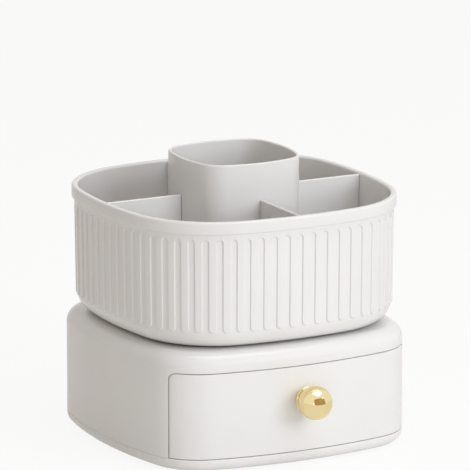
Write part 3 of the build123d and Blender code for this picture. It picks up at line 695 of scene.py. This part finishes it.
def housing():
    """Walls, shoulder and top in one shell. The drawer's opening is open towards the pan."""
    mesh = Mesh()
    side_turn = normal_turn(BASE.front_at(OPENING_HALF + SEAM_ROUND))
    back = BASE.even_places(side_turn, pi - side_turn)[1:]
    edges = seam_steps(SEAM_ROUND) + [(0.0, WALL)]
    loops = [housing_edge(mesh, back, grow, depth) for grow, depth in edges]
    mesh.join_all(loops)
    outer_start = housing_wall(mesh, loops[0], back, SEAM_ROUND, 0.0)
    inner_start = housing_wall(mesh, loops[-1], back, 0.0, WALL)
    outer_places = column_places(back, SEAM_ROUND, 0.0)
    inner_places = column_places(back, 0.0, WALL)
    rings = [outer_start]
    for t in quarter_turns(SHOULDER_STEPS)[1:]:
        rings.append(shoulder_ring(mesh, outer_places, 0.0, t))
    for radius, z in top_circles():
        rings.append(mesh.circle_ring(outer_places, radius, z))
    for t in reversed(quarter_turns(EDGE_STEPS)[1:]):
        rings.append(shoulder_ring(mesh, inner_places, WALL, t))
    rings.append(inner_start)
    mesh.join_all(rings)
    add_housing_fittings(mesh)
    return mesh.piece("housing_moulding")


# ------------------------------------------------------------ drawer front
def front_loop(mesh, shrink, depth):
    """The panel's edge, moved in by shrink: bottom row and top row, left to right."""
    corner = OPENING_CORNER - PANEL_GAP
    edge = opening_edge(-shrink, FRONT_HALF, FRONT_TOP, corner)
    top = [mesh.add(*front_place(x, depth), z) for x, z in edge]
    bottom = [mesh.add(*front_place(x, depth), FRONT_BOTTOM + shrink) for x, z in edge]
    return bottom, top


def drawer_front():
    """The curved panel that wraps round both front corners, with softly rounded edges."""
    mesh = Mesh()
    steps = seam_steps(SEAM_ROUND)
    steps += [(shrink, FRONT_THICKNESS - depth) for shrink, depth in reversed(steps)]
    rows = [front_loop(mesh, shrink, depth) for shrink, depth in steps]
    mesh.join_all([bottom + list(reversed(top)) for bottom, top in rows])
    mesh.strip(*rows[0])
    mesh.strip(*rows[-1])
    return mesh.piece("drawer_front_panel")


# ------------------------------------------------------------ knob
def turned(name, profile):
    """A piece turned about the knob's axis, from (y, radius) pairs that start and end on it."""
    mesh = Mesh()
    turns = [2 * pi * i / TURNED_SIDES for i in range(TURNED_SIDES)]
    rings = []
    for y, radius in profile[1:-1]:
        circle = [(radius * cos(t), KNOB_HEIGHT + radius * sin(t)) for t in turns]
        rings.append([mesh.add(x, y, z) for x, z in circle])
    mesh.join_all(rings)
    mesh.fan(rings[0], 0, profile[0][0], KNOB_HEIGHT)
    mesh.fan(rings[-1], 0, profile[-1][0], KNOB_HEIGHT)
    return mesh.piece(name)


def knob():
    """A ball on a short neck."""
    meet = asin(NECK_RADIUS / KNOB_RADIUS)
    profile = [(KNOB_BACK_Y, 0.0), (KNOB_BACK_Y, NECK_RADIUS)]
    profile.append((KNOB_BACK_Y - NECK_ROW, NECK_RADIUS))
    for i in range(BALL_STEPS):
        turn = meet + (pi - meet) * i / BALL_STEPS
        profile.append((KNOB_CENTRE_Y + KNOB_RADIUS * cos(turn), KNOB_RADIUS * sin(turn)))
    profile.append((KNOB_CENTRE_Y - KNOB_RADIUS, 0.0))
    return turned("knob_ball", profile)


def collar():
    """A flared seat that widens from the panel and cups the back of the ball."""
    front = COLLAR_BACK_Y - COLLAR_HEIGHT
    slope = (COLLAR_FRONT_RADIUS - COLLAR_BACK_RADIUS) / COLLAR_HEIGHT
    cupped = KNOB_RADIUS + COLLAR_PLAY
    bore = NECK_RADIUS + COLLAR_PLAY
    inner_lip = sqrt(cupped**2 - (front + COLLAR_EDGE - KNOB_CENTRE_Y) ** 2)
    outer_lip = COLLAR_FRONT_RADIUS - slope * COLLAR_EDGE
    profile = [(COLLAR_BACK_Y, 0.0), (COLLAR_BACK_Y, COLLAR_BACK_RADIUS)]
    for t in quarter_turns(EDGE_STEPS):
        y = front + COLLAR_EDGE * (1 - sin(t))
        profile.append((y, outer_lip - COLLAR_EDGE * (1 - cos(t))))
    for t in reversed(quarter_turns(SEAM_STEPS)):
        y = front + COLLAR_EDGE * (1 - sin(t))
        profile.append((y, inner_lip + COLLAR_EDGE * (1 - cos(t))))
    for i in range(1, FILLET_STEPS + 1):
        radius = inner_lip + (bore - inner_lip) * i / FILLET_STEPS
        profile.append((KNOB_CENTRE_Y + sqrt(cupped**2 - radius**2), radius))
    profile += [(KNOB_BACK_Y, bore), (KNOB_BACK_Y, 0.0)]
    return turned("knob_flange", profile)


# ------------------------------------------------------------ materials
class Nodes:
    """A material's node tree, with short calls for the nodes that these finishes are made of."""

    def __init__(self, name):
        self.material = bpy.data.materials.new(name)
        self.material.use_nodes = True
        self.tree = self.material.node_tree
        self.shader = self.tree.nodes["Principled BSDF"]

    def new(self, kind, **settings):
        node = self.tree.nodes.new(kind)
        for key, value in settings.items():
            setattr(node, key, value)
        return node

    def link(self, source, target):
        self.tree.links.new(source, target)

    def noise(self, scale, detail, grain=0.5):
        node = self.new("ShaderNodeTexNoise")
        node.inputs["Scale"].default_value = scale
        node.inputs["Detail"].default_value = detail
        node.inputs["Roughness"].default_value = grain
        place = self.new("ShaderNodeTexCoord").outputs["Object"]
        self.link(place, node.inputs["Vector"])
        return node.outputs["Fac"]

    def ranged(self, value, low_out, high_out):
        """Noise, which mostly stays between NOISE_LOW and NOISE_HIGH, spread over another range."""
        node = self.new("ShaderNodeMapRange")
        node.inputs["From Min"].default_value = NOISE_LOW
        node.inputs["From Max"].default_value = NOISE_HIGH
        node.inputs["To Min"].default_value = low_out
        node.inputs["To Max"].default_value = high_out
        self.link(value, node.inputs["Value"])
        return node.outputs["Result"]

    def tone(self, scale, detail, first, second):
        """A base colour that drifts between two close tones."""
        node = self.new("ShaderNodeMix", data_type="RGBA")
        sockets = [socket for socket in node.inputs if socket.type == "RGBA"]
        for socket, colour in zip(sockets, (first, second)):
            socket.default_value = (*colour, 1)
        share = self.ranged(self.noise(scale, detail), 0.0, 1.0)
        self.link(share, node.inputs["Factor"])
        mixed = [socket for socket in node.outputs if socket.type == "RGBA"][0]
        self.link(mixed, self.shader.inputs["Base Color"])

    def polish(self, scale, detail, smooth, rough, grain=0.5):
        """A roughness that drifts between two values."""
        value = self.ranged(self.noise(scale, detail, grain), smooth, rough)
        self.link(value, self.shader.inputs["Roughness"])

    def ripple(self, scale, detail, distance, strength):
        """A fine unevenness of the surface."""
        node = self.new("ShaderNodeBump")
        node.inputs["Distance"].default_value = distance
        node.inputs["Strength"].default_value = strength
        self.link(self.noise(scale, detail), node.inputs["Height"])
        self.link(node.outputs["Normal"], self.shader.inputs["Normal"])


def white_plastic():
    """Glossy moulded plastic: faint flow variation in colour, an uneven polish, a fine ripple."""
    nodes = Nodes("white_plastic")
    nodes.tone(14.0, 2.0, (0.80, 0.792, 0.785), (0.83, 0.824, 0.818))
    nodes.polish(240.0, 5.0, 0.13, 0.19, grain=0.6)
    nodes.ripple(900.0, 2.0, 0.00002, 0.35)
    nodes.shader.inputs["IOR"].default_value = 1.5
    return nodes.material


def gold():
    """Polished gold plating, with the faintest cloudiness."""
    nodes = Nodes("gold")
    nodes.tone(60.0, 3.0, (0.82, 0.68, 0.36), (0.86, 0.73, 0.41))
    nodes.polish(500.0, 4.0, 0.06, 0.11)
    nodes.ripple(350.0, 3.0, 0.00001, 0.15)
    nodes.shader.inputs["Metallic"].default_value = 1.0
    return nodes.material


def slippery_plastic():
    """Plain unpolished plastic of the rails and the ball cage."""
    nodes = Nodes("slippery_plastic")
    nodes.tone(80.0, 3.0, (0.66, 0.65, 0.62), (0.70, 0.69, 0.67))
    nodes.polish(700.0, 4.0, 0.42, 0.55)
    nodes.ripple(1600.0, 3.0, 0.00003, 0.3)
    return nodes.material


def rubber():
    """Dark, dull rubber with a fine grain."""
    nodes = Nodes("rubber")
    nodes.tone(220.0, 4.0, (0.075, 0.075, 0.075), (0.10, 0.10, 0.098))
    nodes.polish(900.0, 4.0, 0.65, 0.8)
    nodes.ripple(2400.0, 4.0, 0.00006, 0.5)
    return nodes.material


def steel():
    """Zinc-plated steel, slightly uneven in tone and polish."""
    nodes = Nodes("steel")
    nodes.tone(400.0, 5.0, (0.50, 0.51, 0.53), (0.60, 0.61, 0.62))
    nodes.polish(1200.0, 5.0, 0.24, 0.4)
    nodes.ripple(1800.0, 4.0, 0.00002, 0.3)
    nodes.shader.inputs["Metallic"].default_value = 1.0
    return nodes.material


MATERIALS = {
    "white_plastic": white_plastic(),
    "gold": gold(),
    "slippery_plastic": slippery_plastic(),
    "rubber": rubber(),
    "steel": steel(),
}


def dress_cad_nodes():
    """Every CAD node gets the finish of its own material slot."""
    for part in frame["record"]["subparts"]:
        obj = frame["nodes"][part["node"]]
        obj.data.materials.clear()
        obj.data.materials.append(MATERIALS[part["material_slot"]])


def dress(obj, body, slot_name, *nodes):
    """A piece gets its finish, its body, and the CAD nodes whose place it takes."""
    obj.data.materials.append(MATERIALS[slot_name])
    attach(obj, body)
    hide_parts(*nodes)


# ------------------------------------------------------------ stage, light and camera
def floor_finish():
    """Pale and matte under the lamps, and nearly white to the camera and in mirrors."""
    nodes = Nodes("floor")
    nodes.shader.inputs["Base Color"].default_value = FLOOR_COLOUR
    nodes.shader.inputs["Roughness"].default_value = FLOOR_ROUGHNESS
    nodes.shader.inputs["Specular IOR Level"].default_value = 0.0
    glow = nodes.new("ShaderNodeEmission")
    glow.inputs["Strength"].default_value = 1.0
    path = nodes.new("ShaderNodeLightPath")
    seen = nodes.new("ShaderNodeMath", operation="MULTIPLY_ADD")
    seen.inputs[1].default_value = MIRRORED_GLOW
    share = nodes.new("ShaderNodeMath", operation="MULTIPLY")
    share.inputs[1].default_value = FLOOR_GLOW
    mix = nodes.new("ShaderNodeMixShader")
    nodes.link(path.outputs["Is Glossy Ray"], seen.inputs[0])
    nodes.link(path.outputs["Is Camera Ray"], seen.inputs[2])
    nodes.link(seen.outputs[0], share.inputs[0])
    nodes.link(share.outputs[0], mix.inputs["Fac"])
    nodes.link(nodes.shader.outputs["BSDF"], mix.inputs[1])
    nodes.link(glow.outputs["Emission"], mix.inputs[2])
    nodes.link(mix.outputs["Shader"], nodes.tree.nodes["Material Output"].inputs["Surface"])
    return nodes.material


def stage_floor():
    """A wide pale floor that keeps the object's shadow."""
    mesh = Mesh()
    plan = ((-1, -1), (1, -1), (1, 1), (-1, 1))
    corners = [mesh.add(x * FLOOR_REACH, y * FLOOR_REACH, 0.0) for x, y in plan]
    mesh.faces.append(tuple(corners))
    floor = mesh.piece("floor")
    floor.data.materials.append(floor_finish())


def reflected_brown_glow_card():
    """A glowing brown card in front of the object that only mirrored rays meet: a painted dark
    reflection in the gold.
    """
    mesh = Mesh()
    left, right = CARD_MIDDLE_X - CARD_HALF_WIDTH, CARD_MIDDLE_X + CARD_HALF_WIDTH
    corners = ((left, CARD_BOTTOM), (right, CARD_BOTTOM), (right, CARD_TOP), (left, CARD_TOP))
    mesh.faces.append(tuple(mesh.add(x, CARD_Y, z) for x, z in corners))
    card = mesh.piece("reflected_brown_glow_card")
    nodes = Nodes("reflected_brown_glow_card")
    nodes.shader.inputs["Base Color"].default_value = CARD_BASE
    # Painted reflection: the card glows brown, and only mirrored rays, such as the gold's, see it.
    nodes.shader.inputs["Emission Color"].default_value = CARD_REFLECTED_GLOW
    nodes.shader.inputs["Emission Strength"].default_value = 1.0
    card.data.materials.append(nodes.material)
    card.visible_camera = False
    card.visible_diffuse = False
    card.visible_shadow = False
    card.visible_transmission = False


def world():
    """White for the camera and for mirrors, and a plain soft grey light for everything else."""
    scene_world = bpy.data.worlds.new("studio")
    bpy.context.scene.world = scene_world
    scene_world.use_nodes = True
    tree = scene_world.node_tree
    fill = tree.nodes["Background"]
    fill.inputs["Color"].default_value = AMBIENT
    fill.inputs["Strength"].default_value = 1.0
    white = tree.nodes.new("ShaderNodeBackground")
    white.inputs["Color"].default_value = WHITE
    white.inputs["Strength"].default_value = 1.0
    path = tree.nodes.new("ShaderNodeLightPath")
    seen = path.outputs["Is Camera Ray"]
    for name in ("Is Glossy Ray", "Is Transmission Ray"):
        either = tree.nodes.new("ShaderNodeMath")
        either.operation = "MAXIMUM"
        tree.links.new(seen, either.inputs[0])
        tree.links.new(path.outputs[name], either.inputs[1])
        seen = either.outputs[0]
    mix = tree.nodes.new("ShaderNodeMixShader")
    tree.links.new(seen, mix.inputs["Fac"])
    tree.links.new(fill.outputs["Background"], mix.inputs[1])
    tree.links.new(white.outputs["Background"], mix.inputs[2])
    tree.links.new(mix.outputs["Shader"], tree.nodes["World Output"].inputs["Surface"])


def softbox(name, place, width, height, power, colour):
    """A rectangular lamp that faces the middle of the object."""
    data = bpy.data.lights.new(name, "AREA")
    data.shape = "RECTANGLE"
    data.size = width
    data.size_y = height
    data.energy = power
    data.color = colour
    lamp = bpy.data.objects.new(name, data)
    bpy.context.scene.collection.objects.link(lamp)
    lamp.location = place
    aim = Vector(LAMP_AIM) - Vector(place)
    lamp.rotation_euler = aim.to_track_quat("-Z", "Y").to_euler()


def camera():
    """A long lens a little above the object and to its left."""
    data = bpy.data.cameras.new("camera")
    data.lens = CAMERA_LENS
    data.sensor_width = CAMERA_SENSOR
    data.clip_end = CAMERA_REACH
    cam = bpy.data.objects.new("camera", data)
    bpy.context.scene.collection.objects.link(cam)
    level = cos(CAMERA_TILT)
    away = Vector((sin(CAMERA_TURN) * level, -cos(CAMERA_TURN) * level, sin(CAMERA_TILT)))
    right = Vector((cos(CAMERA_TURN), sin(CAMERA_TURN), 0))
    up = away.cross(right)
    aim = Vector((0, 0, AIM_HEIGHT)) + right * AIM_RIGHT + up * AIM_UP
    cam.location = aim + away * CAMERA_DISTANCE
    cam.rotation_euler = (-away).to_track_quat("-Z", "Y").to_euler()
    bpy.context.scene.camera = cam


# ------------------------------------------------------------ put together
bpy.context.scene.view_settings.view_transform = "Standard"
dress_cad_nodes()
dress(pan(), "base", "white_plastic", "base_bottom_pan")
dress(housing(), "base", "white_plastic", "base_housing")
dress(drawer_front(), "drawer", "white_plastic", "drawer_front")
dress(tray(), "tray", "white_plastic", "tray_shell")
dress(cup(), "tray", "white_plastic", "brush_cup")
dress(knob(), "drawer", "gold", "drawer_knob")
dress(collar(), "drawer", "gold", "knob_collar")
stage_floor()
reflected_brown_glow_card()
world()
for lamp_settings in LAMPS:
    softbox(*lamp_settings)
camera()
